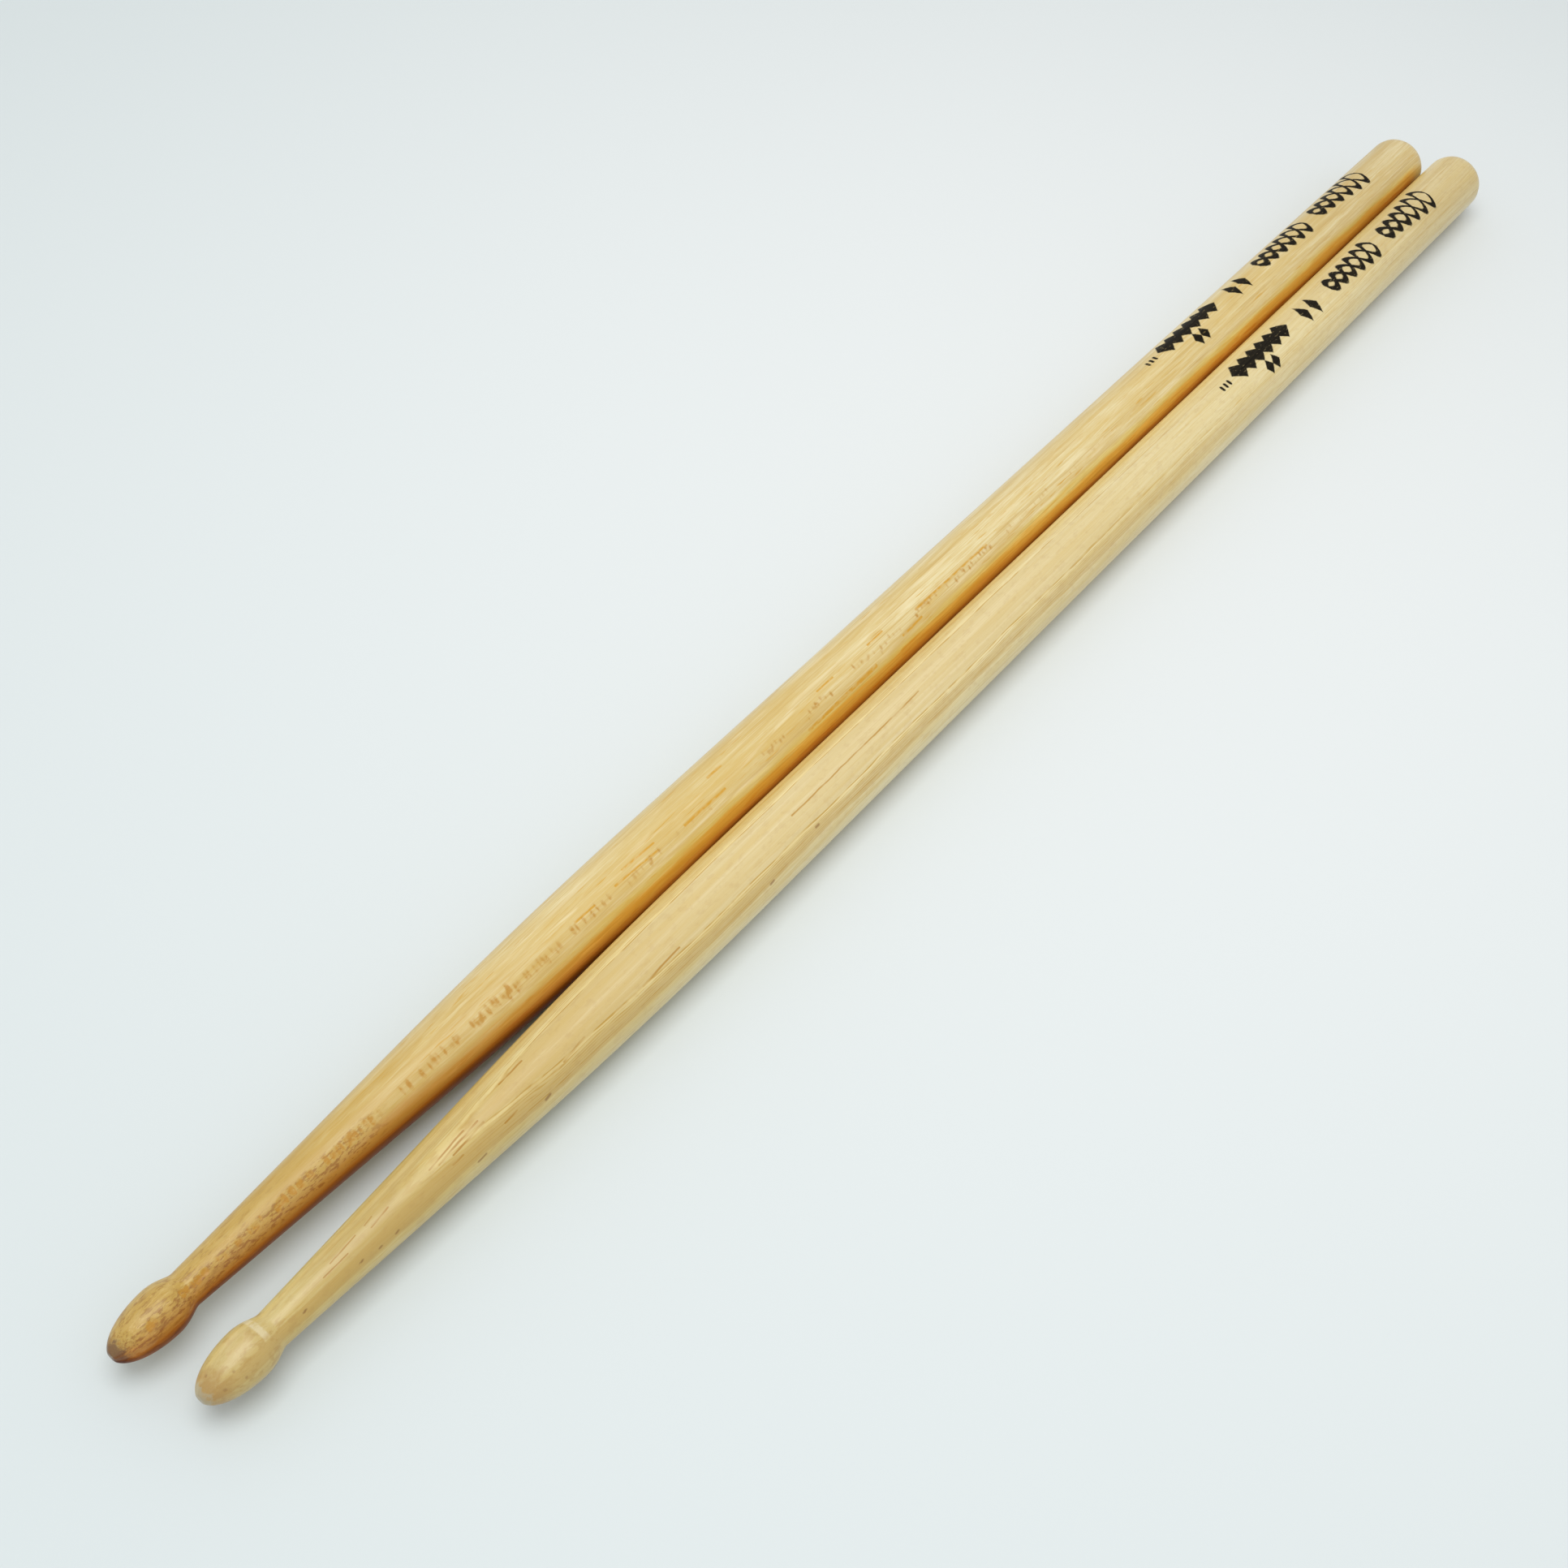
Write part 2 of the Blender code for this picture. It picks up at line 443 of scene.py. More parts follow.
def braid_edge(s, x, up, braid):
    """The same for the lines of one braid, two waves that cross."""
    low, high, wave, first_height, last_height = braid
    height = s.span(x, low, high, first_height, last_height)
    swing = s.math("SINE", s.math("MULTIPLY", s.math("SUBTRACT", x, low), 2 * math.pi / wave))
    swing = s.math("MULTIPLY", swing, height)
    middle = s.math("SUBTRACT", up, BRAID_MIDDLE)
    over = s.math("ABSOLUTE", s.math("SUBTRACT", middle, swing))
    under = s.math("ABSOLUTE", s.math("ADD", middle, swing))
    # the waves are steep, so their lines are nearer than the way straight up or down to them
    line = s.math("MULTIPLY", s.math("MINIMUM", over, under), 0.62)
    beyond = s.math("MAXIMUM", s.math("SUBTRACT", low, x), s.math("SUBTRACT", x, high))
    return s.math("MAXIMUM", s.math("SUBTRACT", line, BRAID_HALF_LINE), beyond)


def printed_marks(s, at, turned):
    """
    The black print near the butt, as plain ornament: three short dashes, a row of diamonds with two
    small ones below it, two slim diamonds, and two braids of crossing waves. turned is how far the
    print sits round the stick, in degrees. The result is 1 in the ink and 0 off it.
    """
    ragged = s.centred(s.noise(at.plane, scale=1.9, detail=2.0), 0.30)
    up = s.math("SUBTRACT", at.arc, turned * ARC_PER_DEGREE)
    edge = s.strokes(s.vector(at.x, up, 0.0), DASHES)
    for diamond in DIAMONDS:
        edge = s.math("MINIMUM", edge, diamond_edge(s, at.x, up, diamond))
    for braid in BRAIDS:
        edge = s.math("MINIMUM", edge, braid_edge(s, at.x, up, braid))
    return s.span(s.math("ADD", edge, ragged), -0.16, 0.16, 1.0, 0.0)


def grained(s, at, looks):
    """Plain hickory, before wear and growth figures. Gives its colour and its fibres."""
    # tone over centimetres, streaks about a millimetre apart, and fibres finer than that
    broad = s.noise(at.grain(s, 0.010, 0.16, looks["seed"]), detail=2.0)
    streak = s.noise(at.grain(s, 0.016, 0.85, looks["seed"] + 3), detail=3.0, roughness=0.62)
    fibre = s.noise(at.grain(s, 0.11, 4.2, looks["seed"] + 7), detail=3.0, roughness=0.65)
    speckle = s.noise(at.grain(s, 0.35, 3.0, looks["seed"] + 9), detail=2.0, roughness=0.6)
    colour = s.mix(s.span(broad, 0.30, 0.70), looks["deep"], looks["pale"])
    colour = s.mix(s.span(streak, 0.34, 0.60, looks["streaks"], 0.0), colour, looks["golden"])
    colour = s.mix(s.span(fibre, 0.34, 0.62, looks["fibres"], 0.0), colour, looks["golden"])
    colour = s.mix(s.span(fibre, 0.54, 0.74, 0.0, 0.30), colour, looks["cream"])
    colour = s.mix(s.span(speckle, 0.50, 0.72, 0.0, looks["speckles"]), colour, looks["golden"])

    blotch = s.noise(at.grain(s, 0.055, 0.95, looks["seed"] + 21), detail=2.0, roughness=0.5, distortion=0.4)
    colour = s.mix(s.span(blotch, 0.53, 0.68, 0.0, looks["blotches"]), colour, looks["golden"])
    colour = s.mix(s.span(blotch, 0.32, 0.44, looks["blotches"] * 0.8, 0.0), colour, looks["cream"])

    # thin long lines of darker grain
    grain = s.noise(at.grain(s, 0.030, 2.1, looks["seed"] + 27), detail=2.0, roughness=0.6, distortion=0.3)
    colour = s.mix(s.span(grain, 0.34, 0.43, looks["grain"], 0.0), colour, looks["grain_colour"])

    # short golden dashes: resin and open pores that took the lacquer
    dash = s.noise(at.grain(s, 0.16, 2.6, looks["seed"] + 13), detail=2.0, roughness=0.5)
    where = s.noise(at.grain(s, 0.03, 0.5, looks["seed"] + 17), detail=1.0)
    dash = s.times(s.span(dash, 0.60, 0.70), s.span(where, 0.42, 0.60), looks["dashes"])
    colour = s.mix(dash, colour, looks["resin"])
    return colour, fibre


def wood(name, nose, looks):
    """
    Lacquered hickory. looks holds what differs between the two sticks. Its figure adds what only that
    stick has, together with painted shade, light and reflection where the sticks face each other, and
    gives back the colour, how high the surface stands, and how much it shines.
    """
    s = Shader(name)
    at = Coordinates(s, nose)
    colour, fibre = grained(s, at, looks)
    colour, relief, shine = looks["figure"](s, at, colour)

    mark = s.add("ShaderNodeAttribute", "Fac", attribute_name="mark")
    patchy = s.span(s.noise(at.grain(s, 1.1, 1.5), detail=2.0), 0.38, 0.54, 0.40, 1.0)
    mark = s.span(mark, 0.10, 0.45)
    colour = s.mix(s.times(mark, patchy, looks["mark_weight"]), colour, looks["mark_colour"])

    # the ink keeps a little of the wood's grain, and is rubbed thin in places
    ink = printed_marks(s, at, looks["print_turned"])
    grip = s.span(fibre, 0.25, 0.75, 0.975, 1.0)
    rubbed = s.span(s.noise(at.grain(s, 0.8, 2.0, 31.0), detail=2.0), 0.60, 0.74, 1.0, 0.80)
    colour = s.mix(s.times(ink, grip, rubbed), colour, INK)

    rough = s.span(fibre, 0.2, 0.8, looks["rough"][0], looks["rough"][1])
    bump_height = s.math("ADD", s.math("MULTIPLY", fibre, 0.5), relief)
    bump_height = s.math("ADD", bump_height, s.math("MULTIPLY", mark, -0.8))
    normal = s.add("ShaderNodeBump", 0, {"Height": bump_height, "Strength": 0.35, "Distance": 0.06 * MM})
    s.put(s.surface.inputs["Base Color"], colour)
    s.put(s.surface.inputs["Roughness"], rough)
    s.put(s.surface.inputs["Normal"], normal)
    s.put(s.surface.inputs["IOR"], 1.5)
    s.put(s.surface.inputs["Specular IOR Level"], s.times(s.span(ink, 0.0, 1.0, 0.42, 0.02), shine))
    s.put(s.surface.inputs["Coat Weight"], s.times(s.span(ink, 0.0, 1.0, 0.10, 0.0), shine))
    s.put(s.surface.inputs["Coat Roughness"], 0.22)
    return s.material


def handled(s, at, colour, tip_until, tip_tint):
    """The played end and the held end are a little darker than the middle."""
    played = s.mix(s.span(at.x, 15.0, tip_until), tip_tint, PLAIN)
    held = s.mix(s.span(at.x, 300.0, 375.0), PLAIN, HELD_TINT)
    return s.mix(1.0, colour, s.mix(1.0, played, held, "MULTIPLY"), "MULTIPLY")


# Colours that growth and use gave the wood, on one stick or the other
TIP_GOLD = (0.51, 0.325, 0.072)
TORN_DARK = (0.30, 0.140, 0.032)
TORN_PALE = (0.72, 0.55, 0.25)
CHIP_DARK = (0.30, 0.125, 0.020)
CHIP_PALE = (0.72, 0.52, 0.22)
BURNT_NOSE = (0.15, 0.070, 0.040)
RESIN = (0.58, 0.29, 0.008)
LATEWOOD_AT_TIP = (0.61, 0.435, 0.175)
LATEWOOD = (0.645, 0.51, 0.25)
STREAK_GOLD = (0.63, 0.46, 0.165)
STREAK_PALE = (0.78, 0.66, 0.40)
RING_CREAM = (0.82, 0.67, 0.33)
EARLYWOOD = (0.52, 0.36, 0.13)
LOW_TAPER_BROWN = (0.55, 0.375, 0.125)
BEAD_TAN = (0.56, 0.42, 0.20)
PORE = (0.48, 0.27, 0.030)
CRACK = (0.44, 0.22, 0.022)
FLECK = (0.27, 0.135, 0.035)
BRUISE = (0.42, 0.24, 0.085)
MOTTLE = (0.50, 0.33, 0.115)
RUBBED_WHITE = (0.80, 0.72, 0.56)
RUBBED_PALE = (0.76, 0.62, 0.38)
WORN_NOSE = (0.46, 0.42, 0.34)
# Tints. LEFT_TIP and RIGHT_TIP darken the played ends; the others are painted light where the sticks face
# each
# other: painted shade, contact shadow and reflection on the left, painted light and reflection on the right.
PAINTED_WARM_SHADE_AT_TIP = (0.86, 0.59, 0.33)
PAINTED_WARM_SHADE = (1.0, 0.70, 0.32)
PAINTED_DEEP_SHADE = (0.90, 0.66, 0.50)
PAINTED_CONTACT_SHADOW = (0.60, 0.50, 0.34)
PAINTED_REFLECTION = (1.0, 0.96, 0.60)
LEFT_TIP = (0.89, 0.86, 0.71)
RIGHT_TIP = (0.83, 0.80, 0.64)
PAINTED_LIGHT_BAND = (1.14, 1.16, 1.16)
PAINTED_LIGHT_AND_REFLECTION_AT_TIP = (1.07, 1.0, 0.70)
PAINTED_LIGHT_AND_REFLECTION = (1.14, 1.13, 0.90)

# Strokes drawn on the unrolled skin: start, end and half width, in mm from the nose and mm round
RESIN_LINES = (
    ((101.5, -2.5), (111.5, -2.9), 0.10), ((118.5, -2.9), (129.0, -3.0), 0.12),
    ((185.0, -2.7), (208.0, -2.75), 0.12), ((92.0, -2.4), (96.5, -2.5), 0.09),
    ((150.0, -5.6), (170.0, -5.3), 0.22), ((156.5, -1.5), (161.0, -1.5), 0.10),
    ((171.5, -1.5), (176.0, -1.4), 0.10), ((179.0, -4.6), (185.0, -4.4), 0.12),
    ((128.5, 0.45), (132.0, 0.5), 0.12), ((104.5, -1.3), (112.0, -1.5), 0.09))
CRACKS = (
    ((24.0, -0.7), (29.0, -0.1), 0.13), ((31.0, 0.0), (32.5, 0.3), 0.12),
    ((31.5, -1.6), (35.0, -0.9), 0.14), ((43.0, -1.5), (50.5, -0.7), 0.14),
    ((44.5, -2.2), (53.0, -1.3), 0.15), ((47.0, -2.9), (53.5, -2.3), 0.15),
    ((22.0, -2.3), (26.5, -2.2), 0.12), ((46.0, -4.3), (48.0, -4.2), 0.14),
    ((56.0, -5.4), (58.5, -5.2), 0.14), ((69.0, -4.6), (74.0, -4.0), 0.12),
    ((87.0, -4.6), (96.0, -4.2), 0.12), ((59.5, 0.85), (64.5, 0.95), 0.12),
    ((128.0, -1.6), (165.0, -1.35), 0.08))
FLECKS = (
    ((17.0, -5.6), (17.3, -5.3), 0.22), ((27.3, -6.3), (27.5, -6.1), 0.2),
    ((30.5, -7.0), (30.8, -6.9), 0.2), ((33.6, -7.0), (34.0, -6.8), 0.2),
    ((49.5, -7.9), (51.0, -7.7), 0.2), ((63.5, -7.8), (64.3, -7.5), 0.28),
    ((130.3, -5.8), (131.0, -5.8), 0.2), ((117.0, -7.7), (117.8, -7.6), 0.2))

# How far the growth rings of the right stick are turned about its axis, in degrees from flat
RINGS_FACE = -10
# How much they curl up off their middle, rise towards the butt and waver, all worked out in mm
RING_CURL = 0.045
RING_RISE = 0.0035
RING_WAVER = 1.3
# Growth rings whose open pores show: height through the rings, half width (both in mm), weight
PORE_RINGS = (
    (4.62, 0.08, 1.0), (4.28, 0.045, 0.8), (4.0, 0.05, 0.8), (3.7, 0.04, 0.7), (3.4, 0.05, 0.7),
    (2.9, 0.05, 0.6), (2.5, 0.09, 0.9), (2.2, 0.05, 0.7), (1.9, 0.06, 0.6))


def golden_tip(s, at, colour, wander):
    """The left stick's tip: golden, torn and struck, with a burnt nose. Gives its colour and its relief."""
    uneven = s.span(wander, 0.2, 0.8, -0.35, 0.35)
    warm = s.math("ADD", s.span(at.x, 5.0, 122.0, 1.0, 0.0), uneven, clamp=True)
    colour = s.mix(s.math("MULTIPLY", warm, 0.78), colour, TIP_GOLD)
    torn = s.noise(at.grain(s, 0.35, 1.9, 5.0), detail=4.0, roughness=0.7)
    near_tip = s.span(at.x, 2.0, 46.0, 1.0, 0.0)
    colour = s.mix(s.times(s.span(torn, 0.50, 0.64), near_tip, 0.65), colour, TORN_DARK)
    colour = s.mix(s.times(s.span(torn, 0.46, 0.34, 0.0, 1.0), near_tip, 0.35), colour, TORN_PALE)
    chips = s.noise(at.grain(s, 0.75, 2.3, 15.0), detail=3.0, roughness=0.65)
    struck = s.times(s.between(at.angle, -60.0, -22.0, 12.0), s.between(at.x, 4.0, 42.0, 10.0))
    colour = s.mix(s.times(struck, s.span(chips, 0.50, 0.60), 0.70), colour, CHIP_DARK)
    colour = s.mix(s.times(near_tip, s.span(chips, 0.40, 0.32), 0.50), colour, CHIP_PALE)
    nose = s.span(s.math("ADD", at.x, s.span(torn, 0.3, 0.7, -0.7, 0.7)), 0.5, 2.2, 1.0, 0.0)
    colour = s.mix(s.math("MULTIPLY", nose, 0.85), colour, BURNT_NOSE)
    return colour, s.times(torn, near_tip, 3.0)


def painted_shade_inner_side(s, at, colour, wander):
    """
    Painted shade on the side of the left stick that lies against the other one: warm painted shade, and
    deeper painted shade lower down. Gives its colour and how strong the deeper painted shade is, from 0 to
    1.
    """
    turn = s.math("ADD", at.angle, s.span(wander, 0.25, 0.75, -5.0, 5.0))
    # towards the tip it reaches higher
    full_below = s.span(at.x, 15.0, 80.0, -66.0, -60.0)
    none_above = s.span(at.x, 15.0, 80.0, -18.0, -50.0)
    # none of it reaches the underside or the rounded end of the butt
    under = s.span(at.angle, -150.0, -118.0)
    before_end = s.span(at.x, 383.0, 391.0, 1.0, 0.0)
    # warm painted shade, tinted like light bounced from the right stick
    painted_warm_shade = s.times(s.span(turn, full_below, none_above, 1.0, 0.0), under, before_end)
    tone = s.mix(s.span(at.x, 30.0, 95.0), PAINTED_WARM_SHADE_AT_TIP, PAINTED_WARM_SHADE)
    colour = s.tint(painted_warm_shade, colour, tone)
    # deeper painted shade lower down, towards the right stick
    painted_deep_shade = s.times(s.span(turn, -78.0, -64.0, 1.0, 0.0), under, before_end)
    colour = s.tint(painted_deep_shade, colour, PAINTED_DEEP_SHADE)
    # painted contact shadow where the sticks meet, and a painted golden reflection along its upper border
    painted_contact_shadow = s.times(s.span(turn, -88.0, -74.0, 1.0, 0.0), s.span(at.angle, -120.0, -104.0), before_end)
    colour = s.tint(painted_contact_shadow, colour, PAINTED_CONTACT_SHADOW)
    painted_reflection = s.times(s.between(turn, -68.0, -54.0, 14.0), s.span(at.x, 60.0, 110.0), before_end)
    colour = s.tint(painted_reflection, colour, PAINTED_REFLECTION)
    return colour, painted_deep_shade


def left_figure(s, at, colour):
    """A golden, fibrous tip with a burnt nose, painted shade and reflection on the inner side, and a few
    long resin lines.
    """
    wander = s.noise(at.grain(s, 0.05, 0.9, 2.0), detail=3.0, roughness=0.6)
    colour, fibres = golden_tip(s, at, colour, wander)
    # painted shade and reflection where the left stick lies against the right one
    colour, painted_deep_shade = painted_shade_inner_side(s, at, colour, wander)
    lines = s.strokes(at.wavering(s, wander, 0.5), RESIN_LINES)
    broken = s.span(s.noise(at.grain(s, 0.7, 1.5, 8.0), detail=2.0), 0.34, 0.58, 0.35, 0.9)
    line = s.math("MULTIPLY", s.span(lines, -0.05, 0.22, 1.0, 0.0), broken)
    colour = s.mix(line, colour, RESIN)
    colour = handled(s, at, colour, tip_until=85.0, tip_tint=LEFT_TIP)
    relief = s.math("SUBTRACT", fibres, line)
    # less shine where the deeper shade is painted, so reflections don't wash the painted shade out
    return colour, relief, s.span(painted_deep_shade, 0.0, 1.0, 1.0, 0.15)


def ring_height(s, at, wobble):
    """
    The height of a place through the growth rings of the right stick, in mm. The rings lie almost flat
    in the stick, curl up a little at their sides, rise a little towards the butt, and waver.
    """
    facing = math.radians(RINGS_FACE)
    height = s.math("ADD", s.times(at.z, math.cos(facing)), s.times(at.y, math.sin(facing)))
    lateral = s.math("SUBTRACT", s.times(at.y, math.cos(facing)), s.times(at.z, math.sin(facing)))
    height = s.math("ADD", height, s.times(lateral, lateral, -RING_CURL))
    height = s.math("MULTIPLY_ADD", at.x, -RING_RISE, height)
    return s.math("MULTIPLY_ADD", s.math("SUBTRACT", wobble, 0.5), RING_WAVER, height)


def ring_tones(s, at, colour, height):
    """The broad tones of the rings: streaky tan latewood on top, a cream ring, and darker earlywood."""
    # on the bead and the neck the rings are too worn to read
    behind_bead = s.span(at.x, 12.0, 26.0, 0.15, 1.0)
    latewood = s.times(s.span(height, 4.66, 4.84), s.span(at.x, 175.0, 280.0, 1.0, 0.25), behind_bead)
    tan = s.mix(s.span(at.x, 55.0, 115.0), LATEWOOD_AT_TIP, LATEWOOD)
    colour = s.mix(s.math("MULTIPLY", latewood, 0.68), colour, tan)
    # long faint streaks, golden and pale, run through the latewood
    streak = s.noise(at.grain(s, 0.011, 1.15, 19.0), detail=3.0, roughness=0.6)
    colour = s.mix(s.times(s.span(streak, 0.48, 0.64), latewood, 0.42), colour, STREAK_GOLD)
    colour = s.mix(s.times(s.span(streak, 0.46, 0.34), latewood, 0.30), colour, STREAK_PALE)
    cream = s.times(s.between(height, 4.30, 4.60, 0.14), s.span(at.x, 150.0, 260.0, 1.0, 0.2), behind_bead)
    colour = s.mix(s.math("MULTIPLY", cream, 0.45), colour, RING_CREAM)
    early = s.times(s.between(height, 2.1, 3.7, 0.4), s.span(at.x, 130.0, 330.0, 1.0, 0.35), behind_bead)
    return s.mix(s.math("MULTIPLY", early, 0.45), colour, EARLYWOOD)


def open_pores(s, at, height, chain):
    """Where pores stand open along the ring boundaries, as broken dashes, from 0 to 1."""
    pores = None
    for ring_at, half_width, weight in PORE_RINGS:
        away = s.math("ABSOLUTE", s.math("SUBTRACT", height, ring_at))
        line = s.span(away, half_width * 0.4, half_width * 1.6, weight, 0.0)
        pores = line if pores is None else s.math("MAXIMUM", pores, line)
    pores = s.times(pores, s.span(chain, 0.36, 0.56, 0.30, 1.0), s.span(at.x, 170.0, 290.0, 0.85, 0.30))
    return s.times(pores, s.span(at.x, 22.0, 75.0, 0.10, 1.0))


def cracks_and_flecks(s, at, colour, chain):
    """Open cracks before and along the smooth figure, and dark flecks below it. Gives colour and cracks."""
    plane = at.wavering(s, s.noise(at.grain(s, 0.3, 0.8, 1.0), detail=2.0), 0.35)
    cracks = s.strokes(plane, CRACKS)
    crack = s.math("MULTIPLY", s.span(cracks, -0.04, 0.14, 1.0, 0.0), s.span(chain, 0.30, 0.55, 0.25, 0.85))
    colour = s.mix(crack, colour, CRACK)
    flecks = s.strokes(plane, FLECKS)
    fleck = s.span(flecks, -0.15, 0.22, 0.75, 0.0)
    return s.mix(fleck, colour, FLECK), crack


def worn_bead(s, at, colour):
    """The right bead: a brown bruise on its front, rubbed pale behind, and a grey worn nose."""
    rubbed = s.noise(at.grain(s, 0.5, 0.9, 12.0), detail=3.0, roughness=0.6)
    uneven = s.span(rubbed, 0.25, 0.75, -0.35, 0.25)
    bruise = s.math("ADD", s.span(at.x, 1.0, 5.2, 1.0, 0.0), uneven, clamp=True)
    colour = s.mix(s.math("MULTIPLY", bruise, 0.70), colour, BRUISE)
    mottle = s.math("MULTIPLY", s.span(rubbed, 0.50, 0.66), s.span(at.x, 12.0, 18.0, 0.55, 0.0))
    colour = s.mix(mottle, colour, MOTTLE)
    ring = s.math("MULTIPLY", s.between(at.x, 10.6, 11.3, 0.35), s.span(rubbed, 0.30, 0.52))
    ring = s.times(ring, s.between(at.angle, -15.0, 60.0, 20.0), 0.65)
    colour = s.mix(ring, colour, RUBBED_WHITE)
    patch = s.times(s.between(at.x, 6.0, 8.8, 1.4), s.between(at.angle, -4.0, 26.0, 14.0))
    colour = s.mix(s.times(patch, s.span(rubbed, 0.35, 0.6), 0.4), colour, RUBBED_PALE)
    nose = s.span(s.math("ADD", at.x, s.span(rubbed, 0.3, 0.7, -0.5, 0.5)), 0.4, 1.1, 1.0, 0.0)
    return s.mix(s.math("MULTIPLY", nose, 0.7), colour, WORN_NOSE)


def painted_light_towards_left(s, at, colour):
    """Painted light towards the left stick: a painted paler band, and a painted golden reflection where it
    faces it.
    """
    # painted light: a paler band on the side towards the left stick
    shoulder = s.between(at.angle, 32.0, 58.0, 16.0)
    colour = s.tint(shoulder, colour, PAINTED_LIGHT_BAND)
    # painted reflection of the left stick, golden and lighter, where this side faces it
    facing = s.math("MULTIPLY", s.span(at.angle, 42.0, 66.0), s.span(at.angle, 115.0, 150.0, 1.0, 0.0))
    return s.tint(facing, colour, s.mix(s.span(at.x, 70.0, 190.0), PAINTED_LIGHT_AND_REFLECTION_AT_TIP, PAINTED_LIGHT_AND_REFLECTION))


def right_figure(s, at, colour):
    """A smooth cathedral of latewood along the upper side, with broken pore lines beside and before it."""
    wobble = s.noise(at.grain(s, 0.035, 0.45, 4.0), detail=3.0, roughness=0.55)
    height = ring_height(s, at, wobble)
    colour = ring_tones(s, at, colour, height)
    # the taper is browner low on the outer side, and the bead is tan all round
    low_edge = s.math("MULTIPLY_ADD", s.math("SUBTRACT", wobble, 0.5), 26.0, at.angle)
    low_taper = s.times(s.span(at.x, 25.0, 100.0, 0.75, 0.0), s.between(low_edge, -64.0, -36.0, 5.0))
    colour = s.mix(low_taper, colour, LOW_TAPER_BROWN)
    colour = s.mix(s.span(at.x, 9.0, 17.0, 0.35, 0.0), colour, BEAD_TAN)

    chain = s.noise(at.grain(s, 0.22, 1.2, 6.0), detail=2.0)
    pores = open_pores(s, at, height, chain)
    colour = s.mix(pores, colour, PORE)
    colour, crack = cracks_and_flecks(s, at, colour, chain)
    colour = worn_bead(s, at, colour)
    colour = painted_light_towards_left(s, at, colour)
    colour = handled(s, at, colour, tip_until=135.0, tip_tint=RIGHT_TIP)
    relief = s.math("SUBTRACT", 0.0, s.math("MAXIMUM", crack, s.math("MULTIPLY", pores, 0.6)))
    return colour, relief, 1.0


# What differs between the sticks. seed moves the noise. streaks, fibres, blotches, speckles, grain, dashes
# and mark_weight say how strong each is, from 0 to 1. print_turned is in degrees. rough is from and to.
LEFT_LOOKS = {
    "seed": 4.3, "deep": (0.635, 0.49, 0.205), "pale": (0.735, 0.640, 0.365), "golden": (0.60, 0.405, 0.10),
    "cream": (0.84, 0.74, 0.47), "streaks": 0.40, "fibres": 0.44, "blotches": 0.36, "speckles": 0.35,
    "grain": 0.55, "grain_colour": (0.53, 0.35, 0.095),
    "resin": (0.58, 0.31, 0.015), "dashes": 0.75, "mark_weight": 0.78, "mark_colour": (0.44, 0.20, 0.006),
    "print_turned": 0.0, "rough": (0.30, 0.42), "figure": left_figure}
RIGHT_LOOKS = {
    "seed": 9.1, "deep": (0.645, 0.515, 0.235), "pale": (0.73, 0.640, 0.365), "golden": (0.63, 0.46, 0.145),
    "cream": (0.84, 0.74, 0.46), "streaks": 0.34, "fibres": 0.32, "blotches": 0.28, "speckles": 0.15,
    "grain": 0.40, "grain_colour": (0.56, 0.40, 0.13),
    "resin": (0.58, 0.34, 0.04), "dashes": 0.4, "mark_weight": 0.8, "mark_colour": (0.25, 0.12, 0.035),
    "print_turned": -20.0, "rough": (0.26, 0.36), "figure": right_figure}


# ---------------------------------------------------------------- stage

# The table: half its side, the middle of a pool of light painted on it, how near to that it is at its
# brightest, and from where on the painted falloff is darkest, in metres. Then its two colours, painted lit
# and painted falloff.
TABLE_HALF = 3.0
TABLE_PAINTED_LIGHT_AT = (0.10, 0.0, 0.0)
TABLE_PAINTED_LIT_WITHIN = 0.02
TABLE_PAINTED_FALLOFF_FROM = 0.42
TABLE_PAINTED_LIT = (0.715, 0.750, 0.750)
TABLE_PAINTED_FALLOFF = (0.590, 0.655, 0.662)


def floor():
    """The pale table under the sticks, with a pool of light painted on it: a little darker away from its
    brightest place.
    """
    mesh = bpy.data.meshes.new("table")
    corners = [(-TABLE_HALF, -TABLE_HALF, 0), (TABLE_HALF, -TABLE_HALF, 0), (TABLE_HALF, TABLE_HALF, 0),
               (-TABLE_HALF, TABLE_HALF, 0)]
    mesh.from_pydata(corners, [], [(0, 1, 2, 3)])
    table = bpy.data.objects.new("table", mesh)
    bpy.context.scene.collection.objects.link(table)
    s = Shader("table_white")
    place = s.add("ShaderNodeNewGeometry", "Position")
    away = s.add("ShaderNodeVectorMath", "Value", {0: place, 1: TABLE_PAINTED_LIGHT_AT}, operation="DISTANCE")
    colour = s.mix(s.span(away, TABLE_PAINTED_LIT_WITHIN, TABLE_PAINTED_FALLOFF_FROM), TABLE_PAINTED_LIT, TABLE_PAINTED_FALLOFF)
    s.put(s.surface.inputs["Base Color"], colour)
    s.put(s.surface.inputs["Roughness"], 0.6)
    mesh.materials.append(s.material)


def area_light(name, place, aim, size, power):
    """A square white light at place that points at aim. size is in metres and power in watts."""
    data = bpy.data.lights.new(name, "AREA")
    data.shape = "SQUARE"
    data.size = size
    data.energy = power
    lamp = bpy.data.objects.new(name, data)
    lamp.location = place
    lamp.rotation_euler = (Vector(aim) - Vector(place)).to_track_quat("-Z", "Y").to_euler()
    bpy.context.scene.collection.objects.link(lamp)


def studio_light(surroundings):
    """White surroundings of the given strength, and one soft light above the tips."""
    world = bpy.data.worlds.new("studio")
    world.use_nodes = True
    background = world.node_tree.nodes["Background"]
    background.inputs["Color"].default_value = (1.0, 1.0, 1.0, 1)
    background.inputs["Strength"].default_value = surroundings
    bpy.context.scene.world = world
    area_light("softbox", place=(-0.16, -0.02, 0.8), aim=(0.05, 0, 0), size=0.55, power=3.35)
    bpy.context.scene.view_settings.view_transform = "Standard"


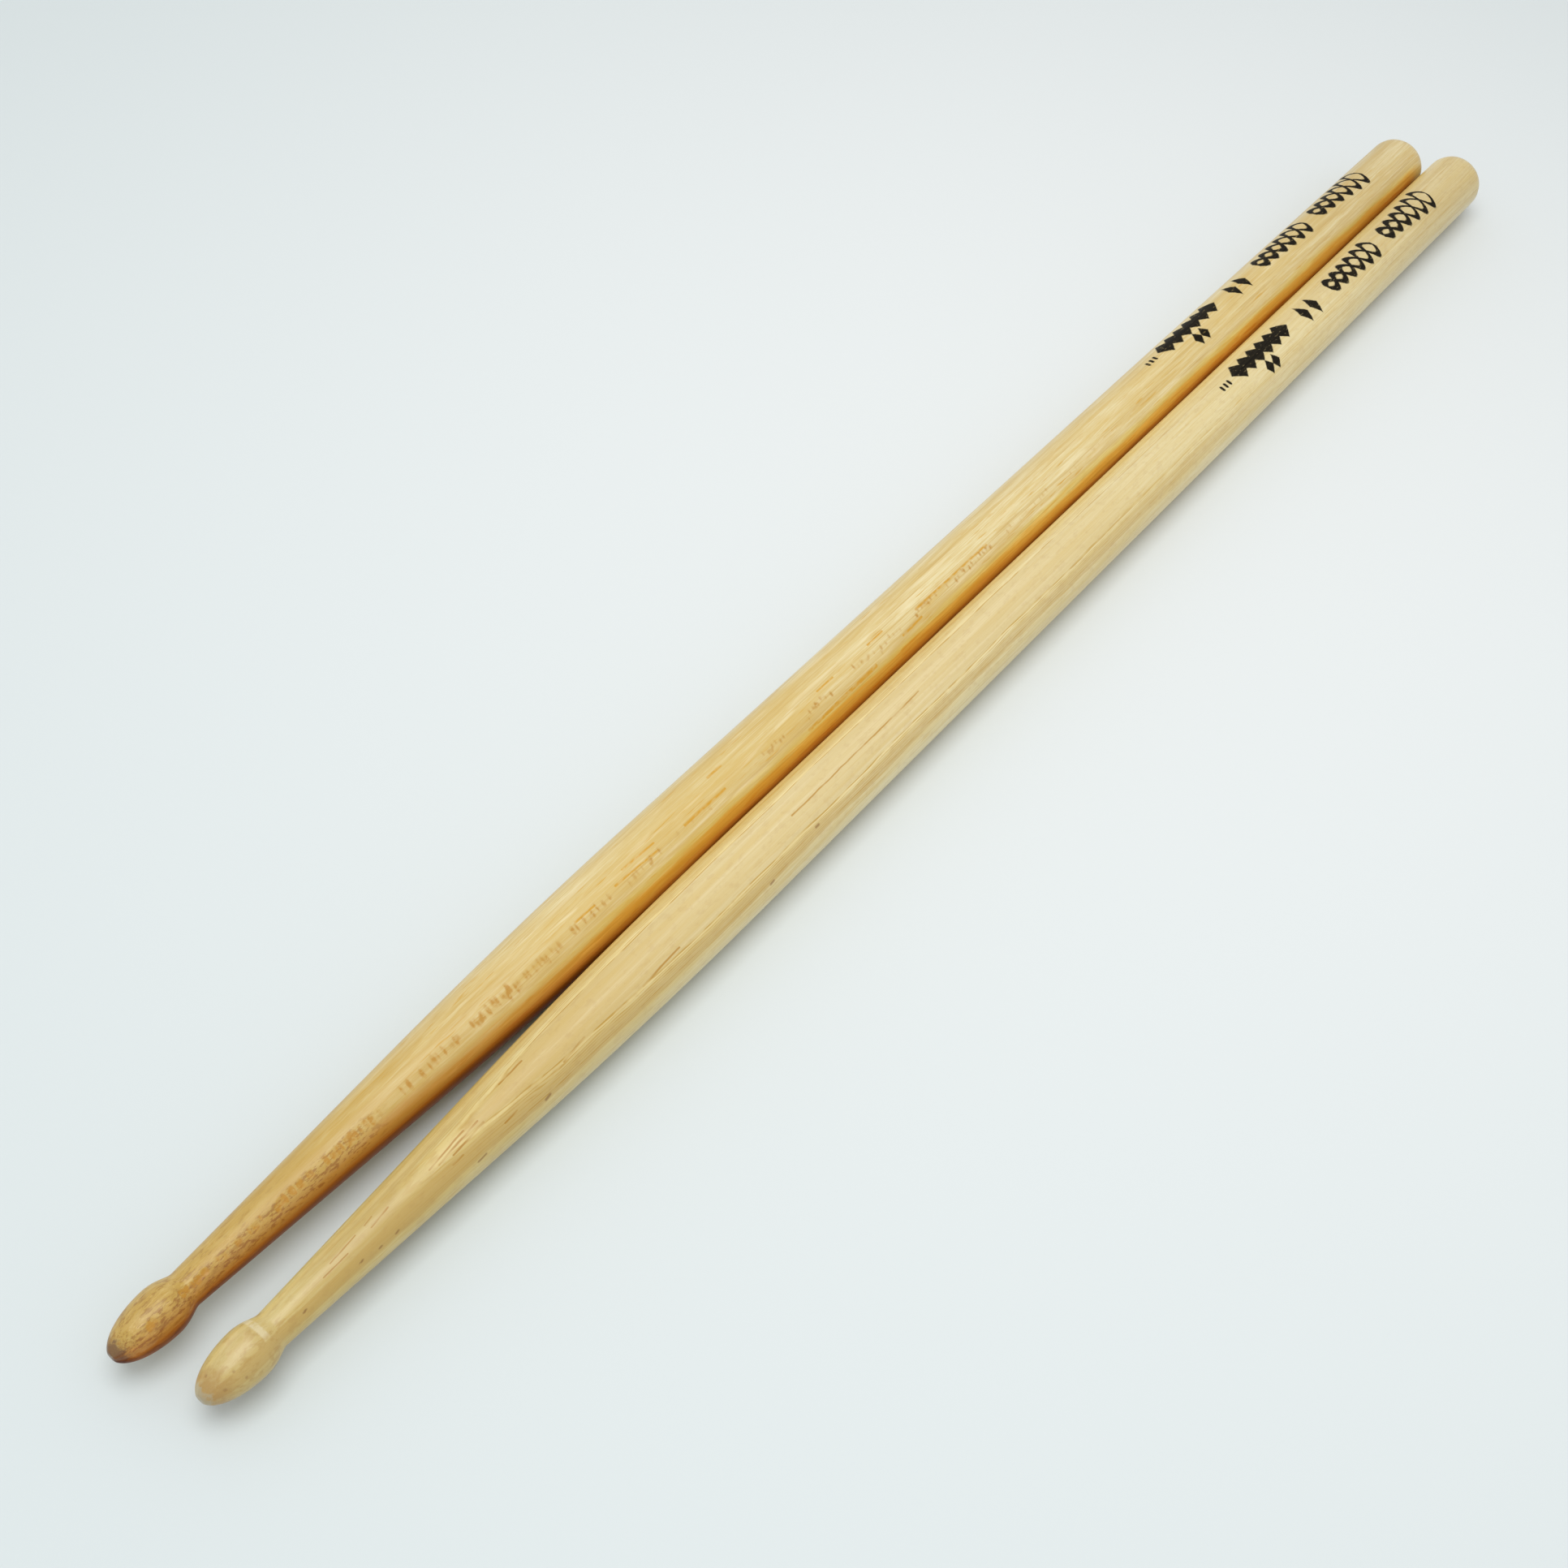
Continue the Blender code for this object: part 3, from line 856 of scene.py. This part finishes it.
def camera(azimuth, below_level, roll, place, lens):
    """
    Where the camera stands and looks. azimuth runs from +X towards +Y, below_level is how far the look
    direction dips, and roll turns the picture, all in degrees. lens is in mm, for a 36 mm wide sensor.
    """
    az, dip, tilt = (math.radians(angle) for angle in (azimuth, below_level, roll))
    ahead = Vector((math.cos(dip) * math.cos(az), math.cos(dip) * math.sin(az), -math.sin(dip)))
    level = ahead.cross(Vector((0, 0, 1))).normalized()
    upright = level.cross(ahead)
    right = math.cos(tilt) * level + math.sin(tilt) * upright
    up = math.cos(tilt) * upright - math.sin(tilt) * level
    data = bpy.data.cameras.new("camera")
    data.sensor_width = 36
    data.lens = lens
    data.clip_start = 0.01
    data.clip_end = 20
    eye = bpy.data.objects.new("camera", data)
    eye.matrix_world = Matrix((
        (right.x, up.x, -ahead.x, place[0]),
        (right.y, up.y, -ahead.y, place[1]),
        (right.z, up.z, -ahead.z, place[2]),
        (0, 0, 0, 1)))
    bpy.context.scene.collection.objects.link(eye)
    bpy.context.scene.camera = eye


# ---------------------------------------------------------------- assembly

def spacing(steps):
    """A function that gives how far apart the rings are at x. Each step: up to here, rings apart, in mm."""
    def rings_apart(x):
        for until, apart in steps:
            if x < until * MM:
                return apart * MM
        return steps[-1][1] * MM
    return rings_apart


def stick(side, spacing_at, angles, marks_at, looks):
    """The detailed skin of one stick, in place of the plain one and on the same body."""
    node = side + "_stick"
    nose = nose_of(node)
    rings = resampled(stick_outline(), spacing_at)
    mesh = turned_mesh(node + "_turned", nose, rings, angles, marks_at)
    piece = bpy.data.objects.new(node + "_turned", mesh)
    bpy.context.scene.collection.objects.link(piece)
    mesh.materials.append(wood(node + "_hickory", nose, looks))
    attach(piece, side)
    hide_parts(node)


# Rings are closest on the beads, and the left stick's angles are closest at its dents
LEFT_SPACING = spacing(((16, 0.2), (125, 0.4), (265, 0.5), (400, 1.0)))
RIGHT_SPACING = spacing(((16, 0.2), (60, 0.6), (400, 1.2)))
LEFT_ANGLES = ring_angles(fine_from=-50, fine_to=-10, fine_step=2.5, coarse_step=5)
RIGHT_ANGLES = [-90 + 4.5 * step for step in range(80)]

# The camera is fitted to the outlines of both sticks in the photo
camera(azimuth=32.057, below_level=49.688, roll=7.054, place=(-0.251643, -0.121475, 0.275739), lens=47.32)
floor()
studio_light(surroundings=0.765)
stick("left", LEFT_SPACING, LEFT_ANGLES, left_marks, LEFT_LOOKS)
stick("right", RIGHT_SPACING, RIGHT_ANGLES, right_marks, RIGHT_LOOKS)
